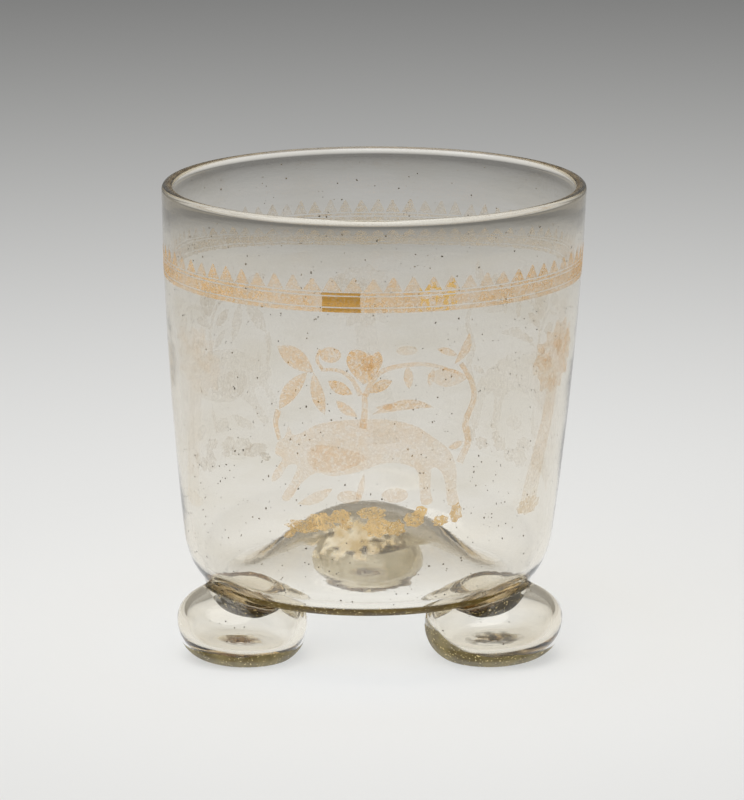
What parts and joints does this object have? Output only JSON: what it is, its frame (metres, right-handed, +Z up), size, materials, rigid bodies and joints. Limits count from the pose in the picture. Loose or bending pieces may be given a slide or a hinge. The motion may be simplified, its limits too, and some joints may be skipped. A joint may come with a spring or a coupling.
{
  "type": "footed beaker",
  "caption": "Blown glass drinking beaker: round bowl with a fire-rounded lip, gently flared wall and pushed-in base, standing on hollow bun feet.",
  "frame": {"origin": "on the table, under the centre of the lip", "axes": "+Z up, away from the table; -Y is the front of the picture, with one foot at the back (+Y); +X is the picture's right"},
  "size_m": [0.1008, 0.1008, 0.1117],
  "materials": {
    "bowl_glass": "clear, faintly straw-grey blown glass with seeds",
    "foot_glass": "clear blown glass, olive where it is thick",
    "gilding": "fired gold leaf, rubbed thin"
  },
  "bodies": {
    "root": {"beaker_body": "bowl_glass", "foot_front_left": "foot_glass", "foot_front_right": "foot_glass", "foot_back": "foot_glass"}
  },
  "joints": []
}
